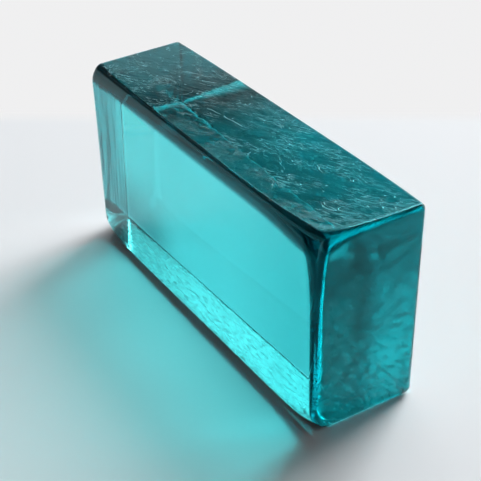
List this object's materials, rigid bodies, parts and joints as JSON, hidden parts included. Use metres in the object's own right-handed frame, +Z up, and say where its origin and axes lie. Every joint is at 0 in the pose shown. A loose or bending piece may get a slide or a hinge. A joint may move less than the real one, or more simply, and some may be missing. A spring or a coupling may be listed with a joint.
{
  "type": "solid glass block",
  "caption": "Solid cast glass building block, a plain rectangular brick of teal glass with soft front edges and crisper back edges, for walls that let light through.",
  "frame": {"origin": "middle of the long narrow side that the block stands on", "axes": "+X along the length, +Y from the front face to the back face, +Z up"},
  "size_m": [0.19, 0.05, 0.09],
  "materials": {
    "teal_glass": "clear coloured cast glass, fire-polished and slightly rippled"
  },
  "bodies": {
    "root": {"glass_block": "teal_glass"}
  },
  "joints": []
}
